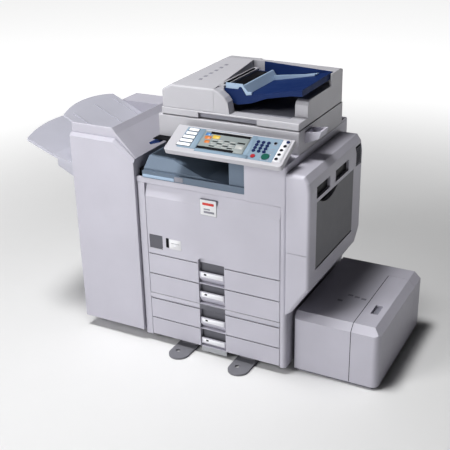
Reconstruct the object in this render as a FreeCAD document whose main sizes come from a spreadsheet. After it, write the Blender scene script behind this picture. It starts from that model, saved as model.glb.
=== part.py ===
import FreeCAD, Part
import math
import os
import re

import Sketcher

# Floor-standing A3 photocopier with document feeder, four paper trays, duplex unit,
# side paper deck and booklet-free finisher.  Working axes while modelling: X to the
# machine's right, Y to its back, Z up, the front face of the door at Y = 0 and the
# floor at Z = 0.  Every sub-part is then placed so that the row's origin is the middle
# of the whole machine's footprint on the floor.

SIZES = {
    # main body, left to right, and back
    "body_left": -46, "body_right": 580, "body_back": 590, "skin": 8,
    "cover_left": -12, "cover_right": 556, "cover_back": 24, "seam": 1.1,
    # heights of the joints between the front covers
    "cover_low": 35, "tray4_top": 115, "tray3_top": 204, "bank_top": 227,
    "tray2_top": 316, "deck_top": 404, "door_bevel": 645, "door_top": 697,
    "rail_top": 720, "band_top": 746, "bay_top": 858, "glass_top": 944,
    "base_low": 30, "base_high": 38,
    # grip column down the middle of the trays
    "grip_left": 213, "grip_right": 325, "grip_depth": 18, "grip_bar": 5,
    # paper boxes
    "box_left": 20, "box_right": 520, "box_back": 470, "box_wall": 3,
    # output bay
    "band_left": -18, "band_right": 415, "bay_back": 455, "block_left": 350,
    # scanner and feeder
    "scan_left": 2, "scan_front": 104, "scan_back": 530, "wall": 8,
    "window_left": 60, "window_right": 500, "window_front": 135, "window_back": 440,
    "lid_low": 948, "lid_high": 974, "lid_left": 18, "lid_right": 579, "lid_back": 524,
    "feed_split": 240.5, "feed_right": 304, "feed_front": 106,
    "table_front": 150, "table_back": 440, "table_left": 264, "table_right": 570,
    "dip": 350, "dip_height": 1038, "ramp_top": 1067, "throat": 1058, "table_high": 1082,
    # operation panel, in its own tilted axes
    "panel_left": 118, "panel_width": 466, "panel_depth": 134, "panel_thick": 20,
    "panel_front": -60, "panel_height": 870, "panel_tilt": 25.4,
    "key_radius": 6.5, "key_sink": 4, "key_rise": 2, "well": 6, "well_play": 0.5,
    "pad_left": 338, "pad_low": 58, "pad_pitch_x": 20, "pad_pitch_y": 15,
    # duplex unit on the right side
    "duplex_right": 672, "duplex_front": -8, "duplex_back": 518, "duplex_top": 827,
    "bypass_low": 449, "bypass_top": 713, "bypass_front": 54, "bypass_back": 430,
    # finisher on the left side
    "fin_left": -337, "fin_right": -48, "fin_low": 48, "fin_back": 470, "fin_front": -12,
    "fin_shoulder": 787, "ridge_x": -150, "ridge_high": 895, "fold_x": -132, "fold_high": 873,
    "trough_front": 14, "trough_back": 355, "proof_low": 810, "proof_slope": 0.47,
    "proof_end": -377, "proof_tip": -407, "proof_thick": 8,
    "shift_end": -571, "shift_tip": -608, "shift_front": 10, "shift_back": 450,
    # side paper deck on the right
    "deck_left": 594, "deck_right": 929, "deck_front": 48, "deck_back": 573,
    "deck_low": 13, "deck_high": 255, "deck_split": 819, "deck_seam": 490, "deck_bevel": 26,
    # feet and castors
    "feet_front": -88, "foot_width": 85, "foot_thick": 8, "castor_radius": 14,
    "castor_width": 14, "fin_castor_radius": 20,
}

# The row's origin: the middle of the footprint.
DATUM_X = "(deck_right + shift_tip) / 2"
DATUM_Y = "(body_back + feet_front) / 2"

doc = FreeCAD.newDocument("photocopier")
sheet = doc.addObject("Spreadsheet::Sheet", "Sizes")
for row, (alias, number) in enumerate(SIZES.items(), 1):
    sheet.set(f"A{row}", alias)
    sheet.set(f"B{row}", str(number))
    sheet.setAlias(f"B{row}", alias)
doc.recompute()

SUB_PARTS = []
NORMAL_SIGN = {"XY": 1, "YZ": 1, "XZ": -1}


def formula(text):
    """Give each size name in an expression its sheet."""
    return re.sub(r"[a-z]\w*", lambda word: f"Sizes.{word.group()}" if word.group() in SIZES
                  else word.group(), str(text))


def value(text):
    """The number an expression has with the sheet's present values."""
    return float(sheet.evalExpression(formula(text)))


def place(item, base=("0", "0", "0"), tilt=0.0):
    """Stand a sub-part at its point of the machine, in the row's frame."""
    item.Placement = FreeCAD.Placement(
        FreeCAD.Vector(0, 0, 0), FreeCAD.Rotation(FreeCAD.Vector(1, 0, 0), tilt))
    item.setExpression("Placement.Base.x", formula(f"{base[0]} - {DATUM_X}"))
    item.setExpression("Placement.Base.y", formula(f"{base[1]} - {DATUM_Y}"))
    item.setExpression("Placement.Base.z", formula(base[2]))


class Piece:
    """A PartDesign body made of pads and pockets whose sizes are bound to the sheet."""

    def __init__(self, label, base=("0", "0", "0"), tilt=0.0, member=False):
        self.body = doc.addObject("PartDesign::Body", label)
        self.body.Label = label
        self.count = 0
        if member:
            return
        place(self.body, base, tilt)
        SUB_PARTS.append(self.body)

    def sketch(self, plane, start):
        self.count += 1
        sketch = self.body.newObject("Sketcher::SketchObject", f"{self.body.Name}_{self.count}")
        for feature in self.body.Origin.OriginFeatures:
            if feature.Role == f"{plane}_Plane":
                sketch.AttachmentSupport = (feature, "")
        sketch.MapMode = "FlatFace"
        sketch.setExpression("AttachmentOffset.Base.z", formula(f"{NORMAL_SIGN[plane]} * ({start})"))
        return sketch

    def outline(self, plane, start, corners):
        """A closed outline.  A corner's third entry is the radius of an arc to the next
        corner: positive bulges out of a counter-clockwise outline, negative into it."""
        sketch = self.sketch(plane, start)
        points = [FreeCAD.Vector(value(corner[0]), value(corner[1]), 0) for corner in corners]
        ends = []
        constraints = []
        bound = []
        for i, point in enumerate(points):
            following = points[(i + 1) % len(points)]
            if len(corners[i]) == 2:
                sketch.addGeometry(Part.LineSegment(point, following))
                ends.append((1, 2))
                continue
            radius = value(corners[i][2])
            sketch.addGeometry(arc_between(point, following, radius))
            ends.append((1, 2) if radius > 0 else (2, 1))
        for i, (begin, finish) in enumerate(ends):
            j = (i + 1) % len(ends)
            constraints.append(Sketcher.Constraint("Coincident", i, finish, j, ends[j][0]))
        for i, (begin, finish) in enumerate(ends):
            for kind, text, number in (("DistanceX", corners[i][0], points[i].x),
                                       ("DistanceY", corners[i][1], points[i].y)):
                bound.append((len(constraints), text))
                constraints.append(Sketcher.Constraint(kind, -1, 1, i, begin, number))
            if len(corners[i]) == 3:
                bound.append((len(constraints), f"abs({corners[i][2]})"))
                constraints.append(Sketcher.Constraint("Radius", i, abs(value(corners[i][2]))))
        sketch.addConstraint(constraints)
        for index, text in bound:
            sketch.setExpression(f"Constraints[{index}]", formula(text))
        return sketch

    def circle(self, plane, start, centre, radius):
        sketch = self.sketch(plane, start)
        middle = FreeCAD.Vector(value(centre[0]), value(centre[1]), 0)
        sketch.addGeometry(Part.Circle(middle, FreeCAD.Vector(0, 0, 1), value(radius)))
        sketch.addConstraint([
            Sketcher.Constraint("DistanceX", -1, 1, 0, 3, middle.x),
            Sketcher.Constraint("DistanceY", -1, 1, 0, 3, middle.y),
            Sketcher.Constraint("Radius", 0, value(radius)),
        ])
        for index, text in enumerate((centre[0], centre[1], radius)):
            sketch.setExpression(f"Constraints[{index}]", formula(text))
        return sketch

    def extrude(self, kind, sketch, plane, start, end):
        feature = self.body.newObject(f"PartDesign::{kind}", f"{sketch.Name}_{kind}")
        feature.Profile = sketch
        feature.setExpression("Length", formula(f"({end}) - ({start})"))
        along_normal = kind == "Pad"
        feature.Reversed = along_normal == (NORMAL_SIGN[plane] < 0)
        self.body.Tip = feature

    def add(self, plane, start, end, corners):
        self.extrude("Pad", self.outline(plane, start, corners), plane, start, end)

    def cut(self, plane, start, end, corners):
        self.extrude("Pocket", self.outline(plane, start, corners), plane, start, end)

    def add_disc(self, plane, start, end, centre, radius):
        self.extrude("Pad", self.circle(plane, start, centre, radius), plane, start, end)

    def cut_disc(self, plane, start, end, centre, radius):
        self.extrude("Pocket", self.circle(plane, start, centre, radius), plane, start, end)

    def slab(self, x, y, z):
        """Add a box given as three pairs of limits."""
        self.add("XY", z[0], z[1], rectangle(x, y))

    def hollow(self, x, y, z):
        """Cut a box given as three pairs of limits."""
        self.cut("XY", z[0], z[1], rectangle(x, y))

    def edges(self, boxes):
        """Names of the edges whose two ends lie inside one of the boxes of limits."""
        doc.recompute()
        wanted = [[(value(low), value(high)) for low, high in box] for box in boxes]
        names = []
        for number, edge in enumerate(self.body.Tip.Shape.Edges, 1):
            ends = [vertex.Point for vertex in edge.Vertexes]
            if len(ends) == 2 and any(holds(box, ends) for box in wanted):
                names.append(f"Edge{number}")
        return names

    def dress(self, kind, size, boxes):
        names = self.edges(boxes)
        if not names:
            raise ValueError(f"{self.body.Label}: no edge for {kind} in {boxes}")
        base = self.body.Tip
        feature = self.body.newObject(f"PartDesign::{kind}", f"{base.Name}_{kind}")
        feature.Base = (base, names)
        feature.setExpression("Radius" if kind == "Fillet" else "Size", formula(size))
        self.body.Tip = feature

    def fillet(self, radius, *boxes):
        self.dress("Fillet", radius, boxes)

    def chamfer(self, size, *boxes):
        self.dress("Chamfer", size, boxes)


def holds(box, points):
    """True if every point lies between the box's limits."""
    return all(low - 0.05 < point[i] < high + 0.05
               for point in points for i, (low, high) in enumerate(box))


def arc_between(first, last, radius):
    """Arc of a circle from first to last, counter-clockwise for a positive radius."""
    span = last - first
    reach = math.sqrt(radius * radius - span.Length ** 2 / 4)
    left = FreeCAD.Vector(-span.y, span.x, 0).normalize()
    centre = (first + last) * 0.5 + left * math.copysign(reach, radius)
    circle = Part.Circle(centre, FreeCAD.Vector(0, 0, 1), abs(radius))
    start, stop = (first, last) if radius > 0 else (last, first)
    return Part.ArcOfCircle(circle, circle.parameter(start), circle.parameter(stop))


ANY = (-1000, 1200)


def at(position):
    """Limits that hold one coordinate only."""
    return (position, position)


def rectangle(across, up):
    return [(across[0], up[0]), (across[1], up[0]), (across[1], up[1]), (across[0], up[1])]


# The power inlet's place in the rear cover.
INLET = rectangle((500, 540), (120, 150))


def block(name, x, y, z):
    """A plain Part box between three pairs of limits, for a group of separate solids."""
    box = doc.addObject("Part::Box", name)
    for property_name, limits in (("Length", x), ("Width", y), ("Height", z)):
        box.setExpression(property_name, formula(f"({limits[1]}) - ({limits[0]})"))
    for coordinate, limits in (("x", x), ("y", y), ("z", z)):
        box.setExpression(f"Placement.Base.{coordinate}", formula(limits[0]))
    return box


def wheel(name, centre, radius, width):
    """A Part cylinder that rolls along Y, standing on the floor."""
    cylinder = doc.addObject("Part::Cylinder", name)
    cylinder.Placement = FreeCAD.Placement(
        FreeCAD.Vector(0, 0, 0), FreeCAD.Rotation(FreeCAD.Vector(0, 1, 0), 90))
    cylinder.setExpression("Radius", formula(radius))
    cylinder.setExpression("Height", formula(width))
    cylinder.setExpression("Placement.Base.x", formula(f"{centre[0]} - {width} / 2"))
    cylinder.setExpression("Placement.Base.y", formula(centre[1]))
    cylinder.setExpression("Placement.Base.z", formula(radius))
    return cylinder


def group(label, members):
    """Several separate solids that share one node."""
    compound = doc.addObject("Part::Compound", label)
    compound.Label = label
    compound.Links = members
    place(compound)
    SUB_PARTS.append(compound)


def castor(name, centre, radius, top):
    """A twin-cheek castor: wheel, two cheeks and the plate screwed under the base."""
    x, y = centre
    half = "castor_width / 2"
    cheek = "(castor_width / 2 + 3)"
    axle = f"{radius} - 4"
    return [
        wheel(f"{name}_wheel", centre, radius, "castor_width"),
        block(f"{name}_cheek_a", (f"{x} - {cheek}", f"{x} - {half}"),
              (f"{y} - 6", f"{y} + 6"), (axle, top)),
        block(f"{name}_cheek_b", (f"{x} + {half}", f"{x} + {cheek}"),
              (f"{y} - 6", f"{y} + 6"), (axle, top)),
    ]


# ---------------------------------------------------------------- body and frame

def base_plate():
    piece = Piece("base_plate")
    piece.slab(("body_left + skin", "body_right - skin"), ("cover_back", "body_back - 14"),
               ("base_low", "base_high"))
    piece.slab(("grip_left", "grip_right"), (6, "cover_back"), ("foot_thick + 2", "cover_low - seam"))


def side_covers():
    left = Piece("left_cover")
    left.add("XY", "base_low", "door_top", [
        ("body_left", 1), ("cover_left - seam", 1), ("cover_left - seam", "cover_back"),
        ("body_left + skin", "cover_back"), ("body_left + skin", "body_back - 13"),
        ("body_left", "body_back - 13")])
    left.fillet(6, (at("body_left"), at(1), ANY))
    right = Piece("right_cover")
    right.add("XY", "base_low", "door_top", [
        ("cover_right + seam", 1), ("body_right", 1), ("body_right", "body_back - 13"),
        ("body_right - skin", "body_back - 13"), ("body_right - skin", "cover_back"),
        ("cover_right + seam", "cover_back")])
    right.fillet(14, (at("body_right"), at(1), ANY))


def rear_cover():
    piece = Piece("rear_cover")
    piece.add("YZ", "body_left", "body_right", [
        ("body_back - 12.5", "base_low"), ("body_back", "base_low"),
        ("body_back", "bay_top + 10"), ("scan_back + 1", "bay_top + 10"),
        ("scan_back + 1", "bay_top + 1"), ("body_back - 12.5", "bay_top + 1")])
    piece.chamfer(8, (ANY, at("body_back"), at("bay_top + 10")))
    piece.cut("XZ", "body_back - 13", "body_back + 1", INLET)
    recesses = [((60, 210), (560, 680)), ((330, 480), (560, 680)), ((20, 90), (300, 470))]
    for across, up in recesses:
        piece.cut("XZ", "body_back - 4", "body_back + 1", rectangle(across, up))


def inner_frame():
    """Sheet-steel shelves and the ledges that the paper boxes run on."""
    inside = ("body_left + skin + 1", "body_right - skin - 1")
    behind = ("cover_back + 2", "body_back - 14")
    members = [
        block("bank_strip", ("cover_left", "cover_right"), (1, "cover_back + 2"),
              ("tray3_top + seam", "bank_top - seam")),
        block("bank_shelf", inside, behind, ("tray3_top + 6", "bank_top - 7")),
        block("engine_shelf", inside, behind, ("deck_top - 8", "deck_top - 1")),
    ]
    for number, low in enumerate(TRAY_LOWS, 1):
        ledge = (f"{low} + 4", f"{low} + 8")
        run = ("cover_back + 2", "box_back + 60")
        members.append(block(f"ledge_left_{number}",
                             ("body_left + skin + 1", "box_left + 9"), run, ledge))
        members.append(block(f"ledge_right_{number}",
                             ("box_right - 9", "body_right - skin - 1"), run, ledge))
    group("inner_frame", members)


TRAY_LOWS = ["tray2_top", "bank_top", "tray4_top", "cover_low"]
TRAY_TOPS = ["deck_top", "tray2_top", "tray3_top", "tray4_top"]
BAR_LOWS = [343, 256, 141, 49]


def tray(number, low, top, bar):
    """Front cover with its grip, and the open paper box behind it."""
    front = Piece(f"tray_{number}_front")
    front.slab(("cover_left", "cover_right"), (0, "cover_back"), (f"{low} + seam", f"{top} - seam"))
    front.cut("XZ", -1, "grip_depth", rectangle(
        ("grip_left", "grip_right"), (f"{low} + 3", f"{top} + 1")))
    front.add("YZ", "grip_left + 3", "grip_right - 3", [
        (1.5, bar), ("grip_depth", f"{low} + 3"), ("grip_depth", f"{low} + 9"),
        ("grip_bar + 2", f"{bar} + 9"), ("grip_bar + 1", f"{bar} + 26"), (1.5, f"{bar} + 26")])
    front.fillet(3, (at("cover_left"), at(0), ANY), (at("cover_right"), at(0), ANY))
    box = Piece(f"tray_{number}_box")
    box_low = f"{low} + 8"
    box_top = f"{low} + 62"
    box.slab(("box_left", "box_right"), ("cover_back", "box_back"), (box_low, box_top))
    box.hollow(("box_left + box_wall", "box_right - box_wall"),
               ("cover_back + box_wall", "box_back - box_wall"),
               (f"{box_low} + box_wall", f"{box_top} + 1"))


def front_door():
    door = Piece("front_door")
    door.add("YZ", "cover_left", "cover_right", [
        (0, "deck_top + 1"), (20, "deck_top + 1"), (20, "door_top - seam"),
        (14, "door_top - seam"), (0, "door_bevel")])
    scoop = [("grip_left", "deck_top"), ("grip_right", "deck_top"),
             ("grip_right", "deck_top + 12"), ("grip_right - 10", "deck_top + 22"),
             ("grip_left + 10", "deck_top + 22"), ("grip_left", "deck_top + 12")]
    door.cut("XZ", -1, 12, scoop)
    door.cut("XZ", -1, 6, rectangle((-2, 57), (428, 486)))
    door.hollow((20, 520), (12, 21), (500, 640))
    door.fillet(4, (at("cover_left"), (0, 14), ANY), (at("cover_right"), (0, 14), ANY))
    flap = Piece("power_switch_cover")
    flap.add("XZ", 0.5, 4, rectangle((-1, 56), (429, 485)))
    flap.fillet(10, (at(56), ANY, at(429)))
    return door


def engine_insides():
    inner = Piece("imaging_unit")
    inner.slab(("cover_left + 2", "cover_right - 2"), (27, 33), ("deck_top + 3", "door_top - 3"))
    inner.cut_disc("XZ", 26, 34, (420, 600), 51)
    inner.slab((60, 500), (33, 480), ("deck_top + 16", "deck_top + 116"))
    inner.slab((40, 330), (33, 480), (580, 660))
    bottle = Piece("toner_bottle")
    bottle.add_disc("XZ", 38, 400, (420, 600), 46)
    bottle.add_disc("XZ", 23, 38, (420, 600), 30)
    bottle.add_disc("XZ", 400, 420, (420, 600), 18)


def upper_frame():
    """Rail over the door and the block on the right that carries the scanner."""
    piece = Piece("upper_frame")
    piece.add("YZ", "band_right", "body_right", [
        (-2, "door_top + 1"), ("body_back - 13", "door_top + 1"),
        ("body_back - 13", "bay_top"), ("scan_front - 1", "bay_top"), (11, "bay_top - 3"),
        (-2, "bay_top - 14")])
    piece.hollow(("band_right + wall", "body_right - wall"), ("wall", "body_back - 25"),
                 ("door_top", "bay_top - 12"))
    piece.slab(("body_left", "band_right"), (1, 12), ("door_top + 1", "rail_top - seam"))
    for left in (440, 540):
        piece.slab((left, f"{left} + 16"), (56, 82), ("bay_top - 6", "bay_top + 38"))
    piece.fillet(10, (at("body_right"), at(-2), ANY))


def exit_tray():
    """Blue output tray: front band, platform that rises to the left, end block."""
    piece = Piece("exit_tray")
    left = "band_left"
    piece.add("XZ", 14, "bay_back", [
        (left, "door_top + 4"), ("block_left", "door_top + 4"), ("block_left", "band_top - 2"),
        (250, "band_top + 4"), (90, "band_top + 40"), (left, "band_top + 44")])
    piece.cut("YZ", f"{left} - 1", "block_left + 1", [
        (13, "band_top + 6"), (60, "band_top + 46"), (60, "band_top + 60"), (13, "band_top + 60")])
    piece.slab((left, "band_right - 1"), (0, 14), ("rail_top", "band_top"))
    piece.slab(("block_left", "band_right - 1"), (14, "bay_back"), ("door_top + 4", "rail_top"))
    piece.slab(("block_left", "band_right - 1"), (6, "bay_back"), ("rail_top", "bay_top - 3"))
    piece.hollow(("block_left + 6", "band_right - 6"), (20, "bay_back - 6"),
                 ("door_top + 3", "bay_top - 10"))
    piece.hollow((f"{left} + 6", "block_left - 6"), (20, "bay_back - 6"),
                 ("door_top + 3", "band_top - 8"))


def bay_walls():
    """Dark lining at the back and rear left of the output bay."""
    piece = Piece("bay_lining")
    piece.slab(("body_left", "band_right - 1"), ("bay_back + 1", "bay_back + 9"),
               ("door_top + 1", "bay_top"))
    piece.slab(("body_left", "body_left + 8"), ("bay_back - 120", "body_back - 13"),
               ("door_top + 1", "bay_top"))


def scanner():
    housing = Piece("scanner_housing")
    housing.slab(("scan_left", "body_right"), ("scan_front", "scan_back"),
                 ("bay_top + seam", "glass_top"))
    housing.fillet(5, (ANY, at("scan_front"), at("glass_top")), (at("scan_left"), at("scan_front"), ANY),
                   (at("body_right"), at("scan_front"), ANY))
    housing.hollow(("scan_left + wall", "body_right - wall"), ("scan_front + wall", "scan_back - wall"),
                   ("bay_top", "glass_top - 6"))
    housing.slab(("scan_left + wall", "body_right - wall"), ("scan_front + wall", "scan_back - wall"),
                 ("bay_top + seam", "bay_top + 5"))
    housing.hollow(("window_left", "window_right"), ("window_front", "window_back"),
                   ("glass_top - 7", "glass_top + 1"))
    for left in (80, 450):
        housing.slab((left, f"{left} + 50"), ("scan_back", "scan_back + 22"),
                     ("bay_top + 12", "glass_top + 2"))
    glass = Piece("platen_glass")
    glass.slab(("window_left", "window_right"), ("window_front", "window_back"),
               ("glass_top - 4", "glass_top"))
    carriage = Piece("scan_carriage")
    carriage.slab((62, 102), ("window_front", "window_back"), (880, 926))
    carriage.hollow((78, 86), ("window_front + 10", "window_back - 10"), (900, 927))


def side_shelf():
    piece = Piece("side_shelf")
    piece.add("XZ", 156, 226, [
        ("body_right", 887), (633, 911), (642, 937), ("body_right", 929)])
    piece.cut("XZ", 162, 220, [
        ("body_right + 6", 898), (628, 917), (634, 945), ("body_right + 6", 945)])


def power_inlet():
    """Appliance inlet let into the back: a recessed socket with three blades."""
    piece = Piece("power_inlet")
    piece.add("XZ", "body_back - 26", "body_back - 1", INLET)
    piece.cut("XZ", "body_back - 18", "body_back", rectangle((504, 536), (123, 147)))
    for x, z in ((513, 133), (520, 138), (527, 133)):
        piece.add("XZ", "body_back - 19", "body_back - 5", rectangle(
            (f"{x} - 1", f"{x} + 1"), (f"{z} - 3", f"{z} + 3")))


# ---------------------------------------------------------------- document feeder

def adf_base():
    """Platen cover: pressing plate, output floor, right flank and rear ridge."""
    piece = Piece("adf_base")
    piece.slab(("lid_left", "lid_right"), ("scan_front", "lid_back"), ("lid_low", "lid_high"))
    piece.fillet(4, (ANY, at("scan_front"), at("lid_high")), (at("lid_left"), at("scan_front"), ANY),
                 (at("lid_right"), at("scan_front"), ANY))
    piece.cut("XZ", "scan_front - 1", "scan_front + 12", rectangle((175, 415), (946, 967)))
    piece.add("XZ", "feed_front", "table_front - 2", [
        ("feed_split + 0.5", "lid_high"), ("feed_right", "lid_high"), (303, 984), (297, 1017),
        (285, 1034), (263, 1051), ("feed_split + 0.5", 1061)])
    piece.fillet(6, ((240, 298), at("feed_front"), (1010, 1062)))
    piece.add("XZ", "table_front - 2", "table_back + 1", [
        ("feed_split + 0.5", "lid_high"), ("table_left - 2", "lid_high"),
        ("table_left - 2", 1066), ("feed_split + 0.5", 1070)])
    piece.add("YZ", 527, "lid_right", [
        (180, "lid_high"), ("lid_back", "lid_high"), ("lid_back", 1036), (205, 1036),
        (192, 1031), (183, 1018)])
    piece.fillet(6, (at(527), (180, 206), ("lid_high", 1036)))
    piece.add("YZ", "table_right + 2", "lid_right", [
        (404, 1030), ("lid_back", 1030), ("lid_back", 1056), (441, 1080), (414, 1080)])
    piece.add("XZ", "table_back + 1", "lid_back", [
        ("feed_split + 0.5", "lid_high"), ("lid_right", "lid_high"), ("lid_right", 1081),
        (534, 1084), (286, 1097), ("feed_split + 0.5", 1098)])
    piece.cut("YZ", "feed_split", "lid_right + 1", [
        (455, 1100), ("lid_back", 1074), ("lid_back + 1", 1074), ("lid_back + 1", 1110),
        (455, 1110)])


def adf_cover():
    """Feeder top cover: crowned shell over the rollers, hinged along its left edge."""
    piece = Piece("adf_cover")
    low = "lid_high + seam"
    piece.add("XZ", "feed_front", "lid_back", [
        ("lid_left + 2", low), ("feed_split", low), ("feed_split", 1110), ("lid_left + 2", 1110)])
    piece.cut("YZ", "lid_left", "feed_split + 1", [
        (100, 1060.6), (441, 1097), (531, 1084), (531, 1120), (100, 1120)])
    piece.cut("XZ", "feed_front - 1", "lid_back + 1", [
        ("lid_left + 1", 1039.4), (149, 1112), ("lid_left + 1", 1112)])
    crown = (1035, 1100)
    piece.fillet(8, (("lid_left", 130), ANY, crown), (ANY, at("feed_front"), crown),
                 (ANY, at("lid_back"), crown), (ANY, at(441), crown),
                 (at("lid_left + 2"), at("feed_front"), ANY), (at("lid_left + 2"), at("lid_back"), ANY))
    piece.hollow(("lid_left + 12", "feed_split - 6"), ("feed_front + 10", "lid_back - 10"),
                 ("lid_high", 1015))


def document_table():
    """Blue document tray: dips at the feeder mouth, then rises to the right."""
    piece = Piece("document_tray")
    piece.add("XZ", "table_front", "table_back", [
        ("table_left", 1030), (285, 1011), (317, 1001), (371, 1012), (432, 1036), (525, 1055),
        ("table_right", 1058), ("table_right", "table_high"), ("dip", "dip_height"),
        (330, "ramp_top"), (324, "ramp_top"), (318, "throat"), ("table_left", "throat")])
    piece.add("XZ", "table_back - 7", "table_back", [
        (292, 1030), ("dip", 1030), ("table_right", 1070),
        ("table_right", 1082), (534, 1084), (292, 1096)])
    piece.cut("XZ", "table_front + 6", "table_back - 8", [
        (360, 1000), (440, 1030), (562, 1053), (562, 1074), (360, 1034)])
    front = Piece("guide_front")
    front.add("XZ", "table_front + 2", "table_front + 9", [
        (268, 1058.6), (317, 1058.6), (323.5, 1067.6), (331, 1067.6), (351, 1038.8),
        (372, 1043), (372, 1052), (357, 1052), (334, 1078), (268, 1078)])
    rear = Piece("guide_rear")
    rear.add("XZ", 386, 392, [
        (353, 1039.2), (520, 1072.6), (520, 1080), (380, 1062), (353, 1058)])
    rear.add("XZ", 392, 430, [
        (353, 1039.2), (520, 1072.6), (520, 1075.6), (353, 1042.2)])


# ---------------------------------------------------------------- operation panel

PANEL_BASE = ("panel_left", "panel_front", "panel_height")


def on_panel(label):
    return Piece(label, PANEL_BASE, SIZES["panel_tilt"])


def control_panel():
    piece = on_panel("control_panel")
    piece.slab((0, "panel_width"), (0, "panel_depth"), ("-panel_thick", 0))
    piece.fillet(12, (at(0), at(0), ANY), (at("panel_width"), at(0), ANY))
    piece.fillet(3, (ANY, at(0), at(0)), (at(0), ANY, at(0)), (at("panel_width"), ANY, at(0)))
    piece.hollow((121, 306), (30, 122), (-5, 1))
    for _, x, y, radius in KEYS:
        piece.cut_disc("XY", "-well", 1, (x, y), f"{radius} + well_play")
    for left in (340, 440):
        piece.slab((left, f"{left} + 14"), (104, 130), (-34, "-panel_thick"))
    screen = on_panel("display_screen")
    screen.slab((121.5, 305.5), (30.5, 121.5), (-5, 0.6))


def key_table():
    """Label, place on the panel and radius of every key that travels."""
    keys = []
    for number, label in enumerate(("1", "2", "3", "4", "5", "6", "7", "8", "9",
                                    "star", "0", "hash")):
        column = number % 3
        line = 3 - number // 3
        keys.append((f"number_key_{label}", f"pad_left + {column} * pad_pitch_x",
                     f"pad_low + {line} * pad_pitch_y", "key_radius"))
    keys.append(("start_key", "392", "37", "key_radius * 2.2"))
    keys.append(("stop_key", "346", "32", "key_radius * 1.3"))
    keys.append(("power_key", "445", "120", "key_radius"))
    return keys


KEYS = key_table()


def keys():
    for label, x, y, radius in KEYS:
        key = on_panel(label)
        key.add_disc("XY", "-key_sink", "key_rise", (x, y), radius)


# ---------------------------------------------------------------- duplex unit

def duplex():
    unit = Piece("duplex_unit")
    unit.add("XZ", "duplex_front", "duplex_back", [
        ("body_right + 1", 272), (606, 287), (628, 321), ("duplex_right", 389),
        ("duplex_right", 765), (666, 803), (650, "duplex_top"), ("body_right + 1", "duplex_top")])
    unit.fillet(14, (("body_right + 1", "duplex_right"), at("duplex_front"), (287, "duplex_top")))
    unit.cut("XZ", "duplex_front - 1", "duplex_front + 1.5", rectangle((580, 673), (526, 528)))
    unit.cut("YZ", "body_right", "duplex_right + 1", [
        ("duplex_back + 1", 270), ("duplex_back + 1", 440), (470, 388), (440, 270)])
    unit.hollow(("body_right", 646), (8, "duplex_back - 16"), (420, "duplex_top - 14"))
    unit.cut("YZ", 656, 680, rectangle(("bypass_front", "bypass_back"), ("bypass_low", "bypass_top")))
    for front, back in ((53, 179), (235, 372)):
        unit.cut("YZ", 660, 680, rectangle((front, back), (728, 771)))
    unit.cut("YZ", 666, 680, rectangle((455, 514), (714, 793)))
    bypass = Piece("bypass_tray")
    bypass.add("XZ", "bypass_front + 1", "bypass_back - 1", [
        (657.5, "bypass_low + 7", 7.5), (671.5, "bypass_low + 7"),
        (671.5, "bypass_top - 1"), (657.5, "bypass_top - 1")])
    bypass.cut_disc("YZ", 655, 675, (171.5, "bypass_top + 144"), 170)
    bypass.cut("YZ", 655, 660.5, rectangle(("bypass_front + 14", "bypass_back - 14"),
                                          ("bypass_low + 40", "bypass_top - 40")))


# ---------------------------------------------------------------- finisher

def proof_height(x):
    return f"proof_low + proof_slope * (ridge_x - ({x}))"


def finisher():
    casing = Piece("finisher_casing")
    casing.add("XZ", "fin_front + 20", "fin_back", [
        ("fin_left", "fin_low"), ("fin_right", "fin_low"), ("fin_right", "fin_shoulder"),
        ("fold_x", "fold_high"), ("ridge_x", "ridge_high"), ("fin_left", "ridge_high")])
    casing.fillet(4, (ANY, at("fin_front + 20"), ("fin_shoulder", "ridge_high")))
    casing.cut("XZ", "trough_front", "trough_back", [
        ("fin_left - 1", f"{proof_height('fin_left - 1')} - proof_thick - 1"),
        ("ridge_x - 2", f"{proof_height('ridge_x - 2')} - proof_thick - 1"),
        ("ridge_x - 2", "ridge_high + 1"), ("fin_left - 1", "ridge_high + 1")])
    casing.hollow(("fin_left + 8", "fin_right - 8"), ("fin_front + 19", "fin_back - 8"),
                  ("fin_low + 8", 765))
    for front in (96, 356):
        casing.hollow(("fin_left - 1", "fin_left + 9"), (front, f"{front} + 24"), (390, 716))
    casing.hollow(("fin_left - 1", "fin_left + 9"), (60, 400), (732, 752))
    door = Piece("finisher_door")
    door.add("XZ", "fin_front", "fin_front + 19.5", [
        ("fin_left", "fin_low"), ("fin_right", "fin_low"), ("fin_right", "fin_shoulder - 2"),
        (-134, 855), ("fin_left", 857)])
    door.hollow(("fin_left + 14", "fin_right - 14"), ("fin_front + 12", "fin_front + 21"),
                ("fin_low + 14", "fin_shoulder - 60"))
    door.chamfer(11, (ANY, at("fin_front"), ("fin_shoulder - 2", 857)))


def bow(run, tip):
    """Radius of a tray's outer edge, bowed from its corners at *_end out to *_tip."""
    half = f"(({run}_back - {run}_front) / 2 + 1)"
    sag = f"({tip}_end - {tip}_tip)"
    return f"({half} ^ 2 + {sag} ^ 2) / (2 * {sag})"


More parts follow.
